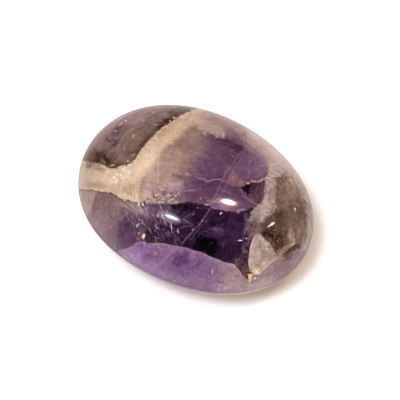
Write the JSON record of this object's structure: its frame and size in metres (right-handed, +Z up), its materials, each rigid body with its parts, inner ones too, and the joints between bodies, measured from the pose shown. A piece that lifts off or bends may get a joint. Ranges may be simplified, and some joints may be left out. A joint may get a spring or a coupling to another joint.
{
  "type": "polished chevron amethyst stone",
  "caption": "Plump hand-polished ovoid of banded chevron amethyst with a small ground flat under it, to hold or to lay on a shelf.",
  "frame": {"origin": "on the resting plane, under the middle of the stone's bounding box", "axes": "+X along the stone towards its narrower end, +Y across it, +Z up out of its domed upper face"},
  "size_m": [0.055, 0.041, 0.0279],
  "materials": {
    "amethyst": "polished chevron amethyst: dark purple, lilac and smoky brown quartz with a cream chevron band"
  },
  "bodies": {
    "root": {"stone": "amethyst"}
  },
  "joints": []
}
